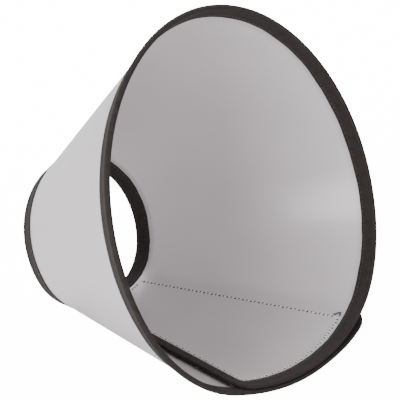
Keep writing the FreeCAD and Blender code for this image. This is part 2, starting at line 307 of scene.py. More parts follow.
def closed_shell(wrap: Wrap, turn: np.ndarray, along: np.ndarray, low: np.ndarray, high: np.ndarray,
                 exact: bool = False) -> Surface:
    """A plate that follows the wall, closed all round.

    The outer and the inner face are the same grid of turn and along at two offsets, and a belt of quads
    joins their borders.

    Args:
        wrap: The wrapped sheet.
        turn: Grid of turns, rising along its second axis.
        along: Grid of distances, rising along its first axis.
        low: Offset of the inner face.
        high: Offset of the outer face.
        exact: Give the faces the wall's own normals, so that strips meet without a crease.

    Returns:
        The closed surface, its texture places in metres across and along the wall.
    """
    rows, columns = turn.shape
    outer = wrap.place(turn, along, high).reshape(-1, 3)
    inner = wrap.place(turn, along, low).reshape(-1, 3)
    count = rows * columns
    index = np.arange(count).reshape(rows, columns)
    border = np.concatenate([index[0], index[1:, -1], index[-1, -2::-1], index[-2:0:-1, 0]])
    following = np.roll(border, -1)
    top = grid_faces(rows, columns)
    bottom = top[:, ::-1] + count
    belt = np.stack([border, border + count, following + count, following], 1)
    width = wrap.slant(0, wrap.cut.depth / 2) * math.sin(wrap.half_angle[0]) * wrap.span[0]
    uv = np.stack([turn.ravel() * width, along.ravel()], 1)
    made = Surface(
        np.vstack([outer, inner]), [top, bottom, belt], np.tile(turn.ravel(), 2), np.tile(uv, (2, 1))
    )
    if facing_in(made.points, top, wrap.normal(turn[0, columns // 2])):
        made.faces = [faces[:, ::-1] for faces in made.faces]
    if exact:
        wall = wrap.normal(turn.ravel())
        corners = [wall[made.faces[0].ravel()], -wall[made.faces[1].ravel() - count]]
        quads = made.points[made.faces[2]]
        across = unit(np.cross(quads[:, 1] - quads[:, 0], quads[:, 2] - quads[:, 0]))
        corners.append(np.repeat(across, 4, axis=0))
        made.normals = np.vstack(corners)
    return made


def facing_in(points: np.ndarray, faces: np.ndarray, outward: np.ndarray) -> bool:
    """Whether the middle face of a grid points against a given direction."""
    a, b, c = points[faces[len(faces) // 2][:3]]
    return float(np.dot(np.cross(b - a, c - a), outward)) < 0.0


def tube_faces(rows: int, columns: int) -> list[np.ndarray]:
    """Faces of a closed profile carried along a path, with one face on each end."""
    index = np.arange(rows * columns).reshape(rows, columns)
    wrapped = np.hstack([index, index[:, :1]])
    quads = np.stack([wrapped[:-1, :-1], wrapped[:-1, 1:], wrapped[1:, 1:], wrapped[1:, :-1]], -1)
    return [quads.reshape(-1, 4), index[:1, ::-1], index[-1:]]


def carried_profile(points: np.ndarray, turn: np.ndarray, uv: np.ndarray, flip: bool) -> Surface:
    """A closed profile carried along a path, with a face on each end.

    Args:
        points: Grid of points, the path along its first axis and the closed profile along its second.
        turn: Turn of each point round the wall, on the same grid.
        uv: Texture places on the same grid.
        flip: Turn every face round.

    Returns:
        The closed tube.
    """
    faces = tube_faces(*turn.shape)
    if flip:
        faces = [group[:, ::-1] for group in faces]
    return Surface(points.reshape(-1, 3), faces, turn.ravel(), uv.reshape(-1, 2))


def repeated(shape: np.ndarray, faces: list[np.ndarray], frames: np.ndarray, centres: np.ndarray,
             turn: np.ndarray) -> Surface:
    """The same small shape at many places.

    Args:
        shape: Points of the shape about its own middle.
        faces: Its faces.
        frames: One matrix for each place, its columns the shape's axes in the row frame.
        centres: The places.
        turn: Each place's turn round the wall.

    Returns:
        One surface that holds every copy.
    """
    count = len(shape)
    points = centres[:, None, :] + np.einsum("nij,pj->npi", frames, shape)
    starts = np.arange(len(centres)) * count
    copied = [(starts[:, None, None] + group[None]).reshape(-1, group.shape[1]) for group in faces]
    uv = np.tile(shape[:, :2], (len(centres), 1))
    return Surface(points.reshape(-1, 3), copied, np.repeat(turn, count), uv)


def rounded_bar(length: float, width: float, height: float, sides: int = 6, rings: int = 3,
                span: float = 0.8) -> tuple:
    """A thread-like bar along X: an ellipse whose radius is the root of one minus the place squared.

    Returns:
        Its points and its faces.
    """
    place = np.linspace(-span, span, rings)
    radius = np.sqrt(1.0 - place**2)[:, None]
    angle = np.arange(sides) * 2.0 * math.pi / sides
    ring = np.stack(
        [
            np.broadcast_to(place[:, None] * length / 2, (rings, sides)),
            radius * np.cos(angle) * width / 2,
            radius * np.sin(angle) * height / 2,
        ],
        -1,
    )
    tips = np.array([[-length / 2, 0.0, 0.0], [length / 2, 0.0, 0.0]])
    points = np.vstack([ring.reshape(-1, 3), tips])
    here = np.arange(sides)
    after = (here + 1) % sides
    quads = [
        np.stack([here + k * sides, after + k * sides, after + (k + 1) * sides, here + (k + 1) * sides], 1)
        for k in range(rings - 1)
    ]
    first, last = rings * sides, rings * sides + 1
    low = np.stack([after, here, np.full(sides, first)], 1)
    high = np.stack([here + first - sides, after + first - sides, np.full(sides, last)], 1)
    return points, [np.vstack(quads), low, high]


def split_by_strip(made: Surface, strip: Strip, per_copy: int) -> Surface:
    """The copies of a repeated shape whose middle turn lies in a strip."""
    middle = made.turn[::per_copy]
    kept = (middle >= strip.start) & (middle < strip.end)
    copies = np.flatnonzero(kept)
    order = np.full(len(middle), -1)
    order[copies] = np.arange(len(copies))
    points = made.points.reshape(-1, per_copy, 3)[copies].reshape(-1, 3)
    uv = made.uv.reshape(-1, per_copy, 2)[copies].reshape(-1, 2)
    faces = []
    for group in made.faces:
        owner = group[:, 0] // per_copy
        chosen = group[order[owner] >= 0]
        step = (order[chosen[:, 0] // per_copy] - chosen[:, 0] // per_copy) * per_copy
        faces.append(chosen + step[:, None])
    return Surface(points, faces, np.repeat(middle[copies], per_copy), uv)


# ---- finishes ---------------------------------------------------------------------------------------


class Recipe:
    """A material's node tree, built a node at a time round one Principled shader."""

    def __init__(self, name: str, **constants: float | tuple) -> None:
        """Start the material and set the shader's own sockets."""
        self.material = bpy.data.materials.new(name)
        self.material.use_nodes = True
        self.tree = self.material.node_tree
        self.shader = self.tree.nodes["Principled BSDF"]
        self.coordinates = self.tree.nodes.new("ShaderNodeTexCoord")
        for socket, value in constants.items():
            self.shader.inputs[socket.replace("_", " ")].default_value = value

    def feed(self, socket: bpy.types.NodeSocket, value: object) -> None:
        """Link a socket to another one, or set it to a plain value."""
        if isinstance(value, bpy.types.NodeSocket):
            self.tree.links.new(value, socket)
        else:
            socket.default_value = value

    def add(self, kind: str, output: int = 0, settings: dict | None = None, **sockets: object):
        """Add a node, set it up and feed its named sockets.

        Returns:
            The node's output socket of that number.
        """
        node = self.tree.nodes.new(kind)
        for name, value in (settings or {}).items():
            setattr(node, name, value)
        for name, value in sockets.items():
            self.feed(node.inputs[name.replace("_", " ")], value)
        return node.outputs[output]

    def place(self, source: str, scale: tuple = (1.0, 1.0, 1.0)) -> bpy.types.NodeSocket:
        """Texture places from the piece's "Object" or "UV" coordinates, scaled."""
        return self.add("ShaderNodeMapping", Vector=self.coordinates.outputs[source], Scale=scale)

    def noise(self, vector: object, scale: float, detail: float = 3.0, roughness: float = 0.55):
        """A fractal noise value."""
        return self.add("ShaderNodeTexNoise", Vector=vector, Scale=scale, Detail=detail, Roughness=roughness)

    def spread(self, value: object, low: float, high: float, start: float = 0.0, end: float = 1.0):
        """A value carried from one range to another."""
        ends = {"From_Min": start, "From_Max": end, "To_Min": low, "To_Max": high}
        return self.add("ShaderNodeMapRange", Value=value, **ends)

    def wave(self, vector: object, way: str, scale: float, distortion: float, **more: float):
        """A sine wave's value along one direction."""
        bands = {"bands_direction": way}
        more |= {"Vector": vector, "Scale": scale, "Distortion": distortion}
        return self.add("ShaderNodeTexWave", 1, bands, **more)

    def shades(self, value: object, dark: tuple, pale: tuple, start: float = 0.3, end: float = 0.7):
        """A colour between two shades, by a value."""
        node = self.tree.nodes.new("ShaderNodeValToRGB")
        for element, position, colour in zip(node.color_ramp.elements, (start, end), (dark, pale)):
            element.position = position
            element.color = (*colour, 1.0)
        self.feed(node.inputs["Fac"], value)
        return node.outputs["Color"]

    def sum(self, first: object, second: object, share: float = 1.0):
        """The first value plus a share of the second."""
        node = self.tree.nodes.new("ShaderNodeMath")
        node.operation = "MULTIPLY_ADD"
        for socket, fed in zip(node.inputs, (second, share, first)):
            self.feed(socket, fed)
        return node.outputs[0]

    def relief(self, height: object, distance: float, strength: float = 1.0) -> None:
        """Raise the surface by a height map."""
        bump = self.add("ShaderNodeBump", Height=height, Distance=distance, Strength=strength)
        self.tree.links.new(bump, self.shader.inputs["Normal"])

    def finish(self, **linked: object) -> bpy.types.Material:
        """Link the shader's varying sockets and hand over the material."""
        for socket, value in linked.items():
            self.feed(self.shader.inputs[socket.replace("_", " ")], value)
        return self.material


@dataclass(frozen=True)
class FrostedSheet:
    """Satin translucent plastic, faintly mottled, with a fine grain."""

    dark: tuple = (0.64, 0.594, 0.612)
    pale: tuple = (0.76, 0.707, 0.725)
    transmission: float = 0.25
    refraction: float = 1.46

    def material(self) -> bpy.types.Material:
        """Mottled colour, uneven satin and a shallow orange-peel relief."""
        recipe = Recipe("frosted_sheet", Transmission_Weight=self.transmission, IOR=self.refraction)
        plain = recipe.place("Object")
        cloud = recipe.noise(plain, 14.0, 4.0)
        grain = recipe.noise(plain, 900.0, 2.0)
        mottling = recipe.sum(cloud, grain, 0.12)
        satin = recipe.spread(cloud, 0.27, 0.32, 0.0, 1.0)
        recipe.relief(grain, 0.03 * MM, 0.15)
        colour = recipe.shades(mottling, self.dark, self.pale, 0.1, 1.0)
        return recipe.finish(Base_Color=colour, Roughness=satin)


@dataclass(frozen=True)
class WovenTape:
    """Charcoal bias tape: two crossing sets of threads, a soft nap and slightly greyed high spots."""

    dark: tuple = (0.0105, 0.008, 0.0075)
    pale: tuple = (0.030, 0.024, 0.0225)
    thread: float = 0.45 * MM

    def material(self) -> bpy.types.Material:
        """The weave is the sum of two sets of waves, one across the tape and one slanted."""
        recipe = Recipe("woven_tape", Sheen_Weight=0.03, Sheen_Roughness=0.6, Specular_IOR_Level=0.12)
        place = recipe.place("UV")
        pitch = 1.0 / self.thread / 2.0
        waves = [
            recipe.wave(place, way, pitch / 3.1, 0.6, Detail=1.0, Detail_Scale=2.0)
            for way in ("DIAGONAL", "Y")
        ]
        weave = recipe.sum(waves[0], waves[1], 1.0)
        wear = recipe.noise(place, 260.0, 4.0)
        slub = recipe.noise(recipe.place("UV", (90.0, 1400.0, 1.0)), 1.0, 3.0)
        tone = recipe.sum(recipe.sum(wear, slub, 0.5), weave, 0.22)
        recipe.relief(recipe.sum(weave, wear, 0.7), 0.12 * MM, 0.8)
        colour = recipe.shades(tone, self.dark, self.pale, 0.55, 1.35)
        return recipe.finish(Base_Color=colour, Roughness=recipe.spread(wear, 0.72, 0.95))


@dataclass(frozen=True)
class Thread:
    """Twisted sewing thread with a soft sheen."""

    name: str
    dark: tuple
    pale: tuple

    def material(self) -> bpy.types.Material:
        """The twist is a fine slanted wave on the thread's own surface."""
        recipe = Recipe(self.name, Sheen_Weight=0.3, Specular_IOR_Level=0.35)
        twist = recipe.wave(recipe.place("UV"), "DIAGONAL", 700.0, 0.5)
        shade = recipe.noise(recipe.place("Object"), 420.0)
        recipe.relief(twist, 0.05 * MM, 0.6)
        colour = recipe.shades(recipe.sum(shade, twist, 0.3), self.dark, self.pale, 0.35, 0.95)
        return recipe.finish(Base_Color=colour, Roughness=recipe.spread(shade, 0.55, 0.8))


@dataclass(frozen=True)
class BrushedLoop:
    """Brushed loop cloth: a felted pile of fine curls with a strong sheen."""

    dark: tuple = (0.46, 0.455, 0.46)
    pale: tuple = (0.68, 0.675, 0.68)

    def material(self) -> bpy.types.Material:
        """Curls are cells that a noise bends out of shape."""
        recipe = Recipe("brushed_loop", Sheen_Weight=0.6, Sheen_Roughness=0.4, Specular_IOR_Level=0.2)
        plain = recipe.place("Object")
        curls = recipe.add("ShaderNodeTexVoronoi", Vector=plain, Scale=1300.0, Randomness=1.0)
        tufts = recipe.noise(plain, 480.0, 4.0, 0.7)
        pile = recipe.sum(tufts, curls, -0.6)
        recipe.relief(pile, 0.35 * MM, 0.9)
        colour = recipe.shades(pile, self.dark, self.pale, 0.1, 0.7)
        return recipe.finish(Base_Color=colour, Roughness=recipe.spread(tufts, 0.8, 1.0))


@dataclass(frozen=True)
class HookPlastic:
    """Nylon hooks and their woven tape: pale, slightly glossy."""

    dark: tuple = (0.50, 0.50, 0.49)
    pale: tuple = (0.66, 0.66, 0.64)

    def material(self) -> bpy.types.Material:
        """A fine rib of threads with a little unevenness."""
        recipe = Recipe("hook_plastic", Coat_Weight=0.15, Specular_IOR_Level=0.5)
        rib = recipe.wave(recipe.place("UV"), "Y", 520.0, 0.4)
        uneven = recipe.noise(recipe.place("Object"), 300.0)
        recipe.relief(recipe.sum(rib, uneven, 0.5), 0.08 * MM, 0.5)
        colour = recipe.shades(recipe.sum(uneven, rib, 0.2), self.dark, self.pale)
        return recipe.finish(Base_Color=colour, Roughness=recipe.spread(uneven, 0.35, 0.6))


PALE_THREAD = Thread("pale_thread", (0.55, 0.55, 0.53), (0.88, 0.88, 0.86))
DARK_THREAD = Thread("dark_thread", (0.012, 0.011, 0.011), (0.045, 0.042, 0.04))


# ---- the collar -------------------------------------------------------------------------------------


def in_scene(name: str, data: bpy.types.ID) -> bpy.types.Object:
    """A new object that shows a mesh, a light or a camera."""
    made = bpy.data.objects.new(name, data)
    bpy.context.scene.collection.objects.link(made)
    return made


@dataclass
class Workshop:
    """What every sub-assembly shares: the wrapped sheet, its strips and the finished materials."""

    wrap: Wrap
    strips: list[Strip]
    materials: dict[str, bpy.types.Material] = field(default_factory=dict)

    def piece(self, name: str, made: Surface, slot: str, strip: Strip, replaced: Sequence[str] = (),
              crease: float = 50.0) -> None:
        """Make a surface a finished object, fastened to its strip's body where the strip has only one.

        Args:
            name: The piece's name.
            made: Its surface.
            slot: The record's material slot, which picks its material.
            strip: The strip that carries it.
            replaced: CAD nodes that it stands for.
            crease: Angle between faces above which an edge stays sharp, in degrees.
        """
        mesh = bpy.data.meshes.new(name)
        faces = [face for group in made.faces for face in group.tolist()]
        mesh.from_pydata(np.round(made.points, 8).tolist(), [], faces)
        mesh.polygons.foreach_set("use_smooth", np.ones(len(mesh.polygons), bool))
        corners = np.zeros(len(mesh.loops), np.int32)
        mesh.loops.foreach_get("vertex_index", corners)
        layer = mesh.uv_layers.new(name="UVMap")
        layer.data.foreach_set("uv", made.uv[corners].astype(np.float32).ravel())
        if made.normals is not None:
            mesh.normals_split_custom_set(made.normals.tolist())
        else:
            mesh.set_sharp_from_angle(angle=math.radians(crease))
        mesh.materials.append(self.materials[slot])
        mesh.update()
        made_object = in_scene(name, mesh)
        self.carry(made_object, strip)
        if replaced:
            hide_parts(*replaced)
        log.info("%s: %d faces on %s", name, len(faces), " and ".join(strip.bodies))

    def carry(self, piece: bpy.types.Object, strip: Strip) -> None:
        """Let a piece ride on its strip's body; a piece between two bodies only has its place baked into its
        points.
        """
        if len(strip.bodies) == 1:
            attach(piece, strip.bodies[0])
            return
        middle = self.wrap.cut.depth / 2
        start, end = (tuple(self.wrap.place(turn_at, middle, 0.0)) for turn_at in (strip.start, strip.end))
        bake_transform(piece)


@dataclass
class FlapOutline:
    """A flap's outline in the unrolled plane, its two free corners rounded.

    The free edge is the Y axis, the sheet lies on the side of negative X, and the cone's apex is the
    origin. The rim and the neck are circles about it.
    """

    wrap: Wrap
    panel: int
    step: float = 1.1 * MM
    least_steps: int = 10  # on a corner's arc

    def __post_init__(self) -> None:
        """Work out the two circles and the middles of the two corner arcs."""
        cut = self.wrap.cut
        self.radius = cut.corner_round
        self.neck = self.wrap.slant(self.panel)
        self.rim = self.wrap.slant(self.panel, cut.depth)
        self.rim_middle = math.sqrt((self.rim - self.radius) ** 2 - self.radius**2)
        self.neck_middle = math.sqrt((self.neck + self.radius) ** 2 - self.radius**2)
        self.fan = math.sin(self.wrap.half_angle[self.panel])

    def turn(self, fan_angle: np.ndarray) -> np.ndarray:
        """Turn round the wall at an angle from the free edge in the unrolled plane."""
        share = fan_angle / (self.fan * self.wrap.span[self.panel])
        return share if self.panel == 0 else len(Wrap.PANELS) - share

    def fan_angle(self, turn: np.ndarray) -> np.ndarray:
        """Angle from the free edge in the unrolled plane at a turn round the wall."""
        share = turn if self.panel == 0 else len(Wrap.PANELS) - turn
        return share * self.fan * self.wrap.span[self.panel]

    def ends(self, turn: np.ndarray) -> tuple[np.ndarray, np.ndarray]:
        """Slants of the neck's and the rim's outline at each turn.

        Inside a corner's arc the slant is where a ray from the apex meets the arc's circle: the middle's
        distance times the cosine of the angle between them, plus or minus the root that is left over.
        """
        angle = self.fan_angle(turn)
        limits = []
        for middle, distance, sign, plain in (
            (self.neck_middle, self.neck + self.radius, -1.0, self.neck),
            (self.rim_middle, self.rim - self.radius, 1.0, self.rim),
        ):
            lean = math.atan2(self.radius, middle)
            inside = np.maximum(self.radius**2 - (distance * np.sin(angle - lean)) ** 2, 0.0)
            arc = distance * np.cos(angle - lean) + sign * np.sqrt(inside)
            limits.append(np.where(angle < lean, arc, plain))
        return limits[0], limits[1]

    def path(self) -> tuple[np.ndarray, np.ndarray]:
        """The outline from the rim, round both corners, to the neck, and its inward normals.

        Returns:
            Points and normals in the unrolled plane. Each arc is its middle plus its radius times the
            normal's opposite.
        """
        far = self.fan_angle(FLAP_END if self.panel == 0 else len(Wrap.PANELS) - FLAP_END)
        quarter = math.pi / 2
        rim_lean = math.atan2(self.radius, self.rim_middle)
        neck_lean = math.atan2(self.radius, self.neck_middle)

        def sweep(radius: float, start: float, end: float) -> np.ndarray:
            """Angles of an arc's points, one step apart."""
            count = max(int(abs(end - start) * radius / self.step), self.least_steps) + 1
            return np.linspace(start, end, count)

        pieces = []
        for middle, radius, start, end, outward in (
            ((0.0, 0.0), self.rim, quarter + far, quarter + rim_lean, 1.0),
            ((-self.radius, self.rim_middle), self.radius, quarter + rim_lean, 0.0, 1.0),
            (None, 0.0, 0.0, 0.0, 1.0),
            ((-self.radius, self.neck_middle), self.radius, 0.0, neck_lean - quarter, 1.0),
            ((0.0, 0.0), self.neck, quarter + neck_lean, quarter + far, -1.0),
        ):
            if middle is None:
                count = int((self.rim_middle - self.neck_middle) / self.step)
                height = np.linspace(self.rim_middle, self.neck_middle, count)
                points = np.stack([np.zeros(count), height], 1)
                normals = np.tile([-1.0, 0.0], (count, 1))
            else:
                angle = sweep(radius, start, end)
                away = np.stack([np.cos(angle), np.sin(angle)], 1)
                points = np.array(middle) + radius * away
                normals = -outward * away
            pieces.append((points[1:], normals[1:]) if pieces else (points, normals))
        return tuple(np.vstack(part) for part in zip(*pieces))

    def wrapped(self, points: np.ndarray) -> tuple[np.ndarray, np.ndarray]:
        """Turn and distance along of points in the unrolled plane."""
        angle = np.arctan2(-points[..., 0], points[..., 1])
        slant = np.hypot(points[..., 0], points[..., 1])
        return self.turn(angle), slant - self.neck


@dataclass
class Wall:
    """The one sheet of frosted plastic, as nine strips that bend at the hinge lines."""

    shop: Workshop
    columns: int = 72
    rows: int = 24
    crowding: float = 1.6  # how much closer the columns stand towards a flap's rounded corners

    def build(self) -> None:
        """Make every strip of the sheet."""
        for strip in self.shop.strips:
            made = self.strip_surface(strip)
            self.shop.piece(f"wall_{strip.name}", made, "sheet_plastic", strip, strip.nodes("sheet"))

    def strip_surface(self, strip: Strip) -> Surface:
        """One strip of the sheet, its flap end cut to the rounded outline."""
        wrap = self.shop.wrap
        cut = wrap.cut
        level = np.linspace(0.0, 1.0, self.rows)[:, None]
        turn = strip.turns(self.columns)
        low, high = np.zeros(self.columns), np.full(self.columns, cut.depth)
        if len(strip.bodies) == 1:
            panel = Wrap.PANELS.index(strip.bodies[0])
            share = np.linspace(0.0, 1.0, self.columns) ** self.crowding * FLAP_END
            turn = share if panel == 0 else len(Wrap.PANELS) - share[::-1]
            outline = FlapOutline(wrap, panel)
            neck, rim = outline.ends(turn)
            low, high = neck - outline.neck, rim - outline.neck
        along = low + (high - low) * level
        grid = np.broadcast_to(turn, along.shape)
        return closed_shell(wrap, grid, along, -cut.skin / 2, cut.skin / 2, exact=True)


@dataclass
class Binding:
    """The woven tape folded over all four edges, and the dark thread that sews it down."""

    shop: Workshop
    pitch: float = 1.1 * MM
    sway: float = 0.18 * MM  # how far the leg's width wanders
    stitch_inset: float = 1.5 * MM  # from a leg's edge to its sewing
    stitch_pull: float = 0.14 * MM  # how far the sewing draws the tape in
    bead: float = 0.75 * MM  # extra height of the folded edge, where the tape's layers meet
    bead_width: float = 3.2 * MM
    flap_bead: float = 0.15  # share of the bead that is left where the flaps press it flat
    stitch_pitch: float = 3.0 * MM
    stitch_length: float = 2.2 * MM
    stitch_width: float = 0.5 * MM
    stitch_height: float = 0.34 * MM
    stitch_lift: float = 0.06 * MM
    stitch_samples: int = 1600
    waves: tuple = ((5.3, 1.0, 1.0), (13.7, 0.6, 2.0), (31.0, 0.35, 0.7))  # rate, share, phase's factor
    waves_from: tuple = (0.3, 0.6)  # turns from a free edge between which the sway sets in
    bead_from: tuple = (0.8, 1.3)  # turns from a free edge between which the full bead sets in
    leg_levels: tuple = (
        *(1.0, 0.998, 0.985, 0.955, 0.90, 0.865, 0.83, 0.79),
        *(0.74, 0.6, 0.45, 0.3, 0.15, 0.05),
    )  # where the section's points stand, as shares of a leg from the fold
    tip_round: float = 0.35 * MM
    seam_width: float = 0.55 * MM
    fold_points: int = 9
    fold_reach: float = 1.1  # how far the fold stands past the sheet's edge, in tape thicknesses
    bead_reach: float = 0.5  # and how much further, as a share of the bead
    backing: float = 0.75  # where the section's closing side has its middle points, as a share of a leg
    length_samples: int = 40

    def build(self) -> None:
        """Make the tape and its sewing, strip by strip."""
        for strip in self.shop.strips:
            if len(strip.bodies) == 1:
                self.flap_tape(strip)
            else:
                for edge in Edge:
                    self.curved_tape(strip, edge)
        self.sewing()

    def wander(self, turn: np.ndarray, phase: float) -> np.ndarray:
        """Change of a leg's width: three sine waves of the turn that die away before the free edges."""
        waves = sum(share * np.sin(turn * rate + factor * phase) for rate, share, factor in self.waves)
        from_edge = np.minimum(turn, len(Wrap.PANELS) - turn)
        return self.sway * waves * smooth_step(from_edge, *self.waves_from)

    def profile(self, turn: np.ndarray) -> tuple[np.ndarray, np.ndarray, np.ndarray]:
        """The tape's section at each turn: a U with rounded tips, drawn in along its sewing.

        Each leg runs at the tape's thickness over the sheet, less a bell-shaped dip over the seam and
        plus a bell-shaped bead at the fold, and the fold is half an ellipse. The section closes along
        the sheet's own surface.

        Returns:
            Distance into the sheet, offset, and length along the section, each with the turn along the
            first axis.
        """
        cut = self.shop.wrap.cut
        skin = cut.skin / 2
        fullness = smooth_step(np.minimum(turn, len(Wrap.PANELS) - turn), *self.bead_from)
        bead = self.bead * (self.flap_bead + (1.0 - self.flap_bead) * fullness)
        legs = []
        for face, width, phase in ((Face.INNER, cut.tape_inside, 0.4), (Face.OUTER, cut.tape_outside, 2.1)):
            reach = (width + self.wander(turn, phase))[:, None]
            inward = reach * np.array(self.leg_levels)
            tip = np.clip((reach - inward) / self.tip_round, 0.0, 1.0)
            rise = cut.tape * np.sqrt(np.clip(1.0 - (1.0 - tip) ** 2, 0.0, 1.0))
            seam = (reach - inward - self.stitch_inset) / self.seam_width
            rise = rise - self.stitch_pull * np.exp(-seam * seam)
            rise = rise + bead[:, None] * np.exp(-((inward / self.bead_width) ** 2))
            legs.append((inward, face.value * (skin + rise)))
        bend = np.linspace(-1.0, 1.0, self.fold_points) * math.pi / 2
        fold = -(self.fold_reach * cut.tape + self.bead_reach * bead)[:, None] * np.cos(bend)
        fold_off = (cut.cover + bead)[:, None] * np.sin(bend)
        inner, outer = legs
        under = outer[0][:, :1] * np.array([self.backing, 0.0])
        inward = np.hstack([inner[0], fold, outer[0][:, ::-1], under, inner[0][:, :1] * self.backing])
        backing = np.broadcast_to([skin, skin, -skin], (len(turn), 3))
        off = np.hstack([inner[1], fold_off, outer[1][:, ::-1], backing])
        length = np.hypot(np.diff(inward, axis=1), np.diff(off, axis=1))
        run = np.hstack([np.zeros((len(turn), 1)), np.cumsum(length, axis=1)])
        return inward, off, run

    def curved_tape(self, strip: Strip, edge: Edge) -> None:
        """The tape over the rim or the neck edge along one strip."""
        wrap = self.shop.wrap
        depth = wrap.cut.depth
        end = depth if edge is Edge.RIM else 0.0
        length = travelled(wrap.place(strip.turns(self.length_samples), end, 0.0))[-1]
        turn = strip.turns(int(length / self.pitch) + 1)
        inward, off, run = self.profile(turn)
        grid = np.broadcast_to(turn[:, None], inward.shape)
        points = wrap.place(grid, end + edge.value * inward, off)
        uv = np.stack([np.broadcast_to(travelled(points[:, 0])[:, None], run.shape), run], -1)
        made = carried_profile(points, grid, uv, flip=edge is Edge.RIM)
        kind = edge.name.lower()
        replaced = strip.nodes(f"{kind}_binding")
        self.shop.piece(f"{kind}_tape_{strip.name}", made, "binding_tape", strip, replaced)

    def flap_tape(self, strip: Strip) -> None:
        """One length of tape from the rim, round the flap's free edge, to the neck."""
        wrap = self.shop.wrap
        panel = Wrap.PANELS.index(strip.bodies[0])
        outline = FlapOutline(wrap, panel)
        path, normals = outline.path()
        inward, off, run = self.profile(outline.wrapped(path)[0])
        flat = path[:, None] + normals[:, None] * inward[..., None]
        turn, along = outline.wrapped(flat)
        points = wrap.place(turn, along, off)
        points[..., 2] = np.maximum(points[..., 2], 0.0)
        uv = np.stack([np.broadcast_to(travelled(path)[:, None], run.shape), run], -1)
        made = carried_profile(points, turn, uv, flip=panel == 0)
        replaced = [node for kind in ("rim", "neck", "edge") for node in strip.nodes(f"{kind}_binding")]
        self.shop.piece(f"tape_{strip.name}", made, "binding_tape", strip, replaced)

    def sewing(self) -> None:
        """Two rows of dark stitches on every stretch of tape, one on each face."""
        wrap = self.shop.wrap
        cut = wrap.cut
        bar, faces = rounded_bar(self.stitch_length, self.stitch_width, self.stitch_height)
        rows = []
        for face, width in ((Face.INNER, cut.tape_inside), (Face.OUTER, cut.tape_outside)):
            inset = width - self.stitch_inset
            off = face.value * (cut.cover - self.stitch_pull + self.stitch_lift)
            turn = np.linspace(FLAP_END, len(Wrap.PANELS) - FLAP_END, self.stitch_samples)
            for edge in Edge:
                end = cut.depth if edge is Edge.RIM else 0.0
                rows.append((turn, np.full(len(turn), end + edge.value * inset), off))
            for panel in (0, len(Wrap.PANELS) - 1):
                outline = FlapOutline(wrap, panel)
                path, normals = outline.path()
                turn_here, along = outline.wrapped(path + normals * inset)
                rows.append((turn_here, along, off))
        stitches = None
        for turn, along, off in rows:
            made = stitch_row(wrap, turn, along, off, self.stitch_pitch, bar, faces)
            stitches = made if stitches is None else merge_repeated(stitches, made, len(bar))
        stitches.points[:, 2] = np.maximum(stitches.points[:, 2], 0.0)
        for strip in self.shop.strips:
            here = split_by_strip(stitches, strip, len(bar))
            self.shop.piece(f"tape_sewing_{strip.name}", here, "dark_thread", strip)


def merge_repeated(first: Surface, second: Surface, per_copy: int) -> Surface:
    """Two surfaces of the same repeated shape as one, their face groups kept apart."""
    shift = len(first.points)
    faces = [np.vstack([a, b + shift]) for a, b in zip(first.faces, second.faces)]
    if len(first.points) % per_copy:
        raise ValueError("the first surface holds part of a shape")
    return Surface(
        np.vstack([first.points, second.points]),
        faces,
        np.concatenate([first.turn, second.turn]),
        np.vstack([first.uv, second.uv]),
    )


def stitch_row(wrap: Wrap, turn: np.ndarray, along: np.ndarray, off: float, pitch: float,
               shape: np.ndarray, faces: list[np.ndarray], slant: float = 0.0, start: float = 0.5) -> Surface:
    """Stitches at even steps along a line on the wall.

    Args:
        wrap: The wrapped sheet.
        turn: Turns of the line's points, close together.
        along: Their distances from the neck edge.
        off: Offset of the stitches' middles.
        pitch: Distance from one stitch to the next.
        shape: The stitch's points, its length along X and its height along Z.
        faces: The stitch's faces.
        slant: Angle that every other stitch turns one way and the rest the other, in degrees.
        start: Where the first stitch lies, in pitches from the line's start.

    Returns:
        All the stitches as one surface.
    """
    run = travelled(wrap.place(turn, along, off))
    count = max(int(run[-1] / pitch - start), 1)
    middle = (np.arange(count) + start) * pitch
    here = np.interp(middle, run, turn)
    behind, centres, ahead = (
        wrap.place(np.interp(at, run, turn), np.interp(at, run, along), off)
        for at in (middle - STITCH_SPAN * pitch, middle, middle + STITCH_SPAN * pitch)
    )
    forward = unit(ahead - behind)
    side = unit(np.cross(wrap.normal(here) * math.copysign(1.0, off), forward))
    lean = np.radians(slant) * np.where(np.arange(count) % 2 == 0, 1.0, -1.0)[:, None]
    forward, side = forward * np.cos(lean) + side * np.sin(lean), side * np.cos(lean) - forward * np.sin(lean)
    frames = np.stack([forward, side, np.cross(forward, side)], -1)
    return repeated(shape, faces, frames, centres, here)


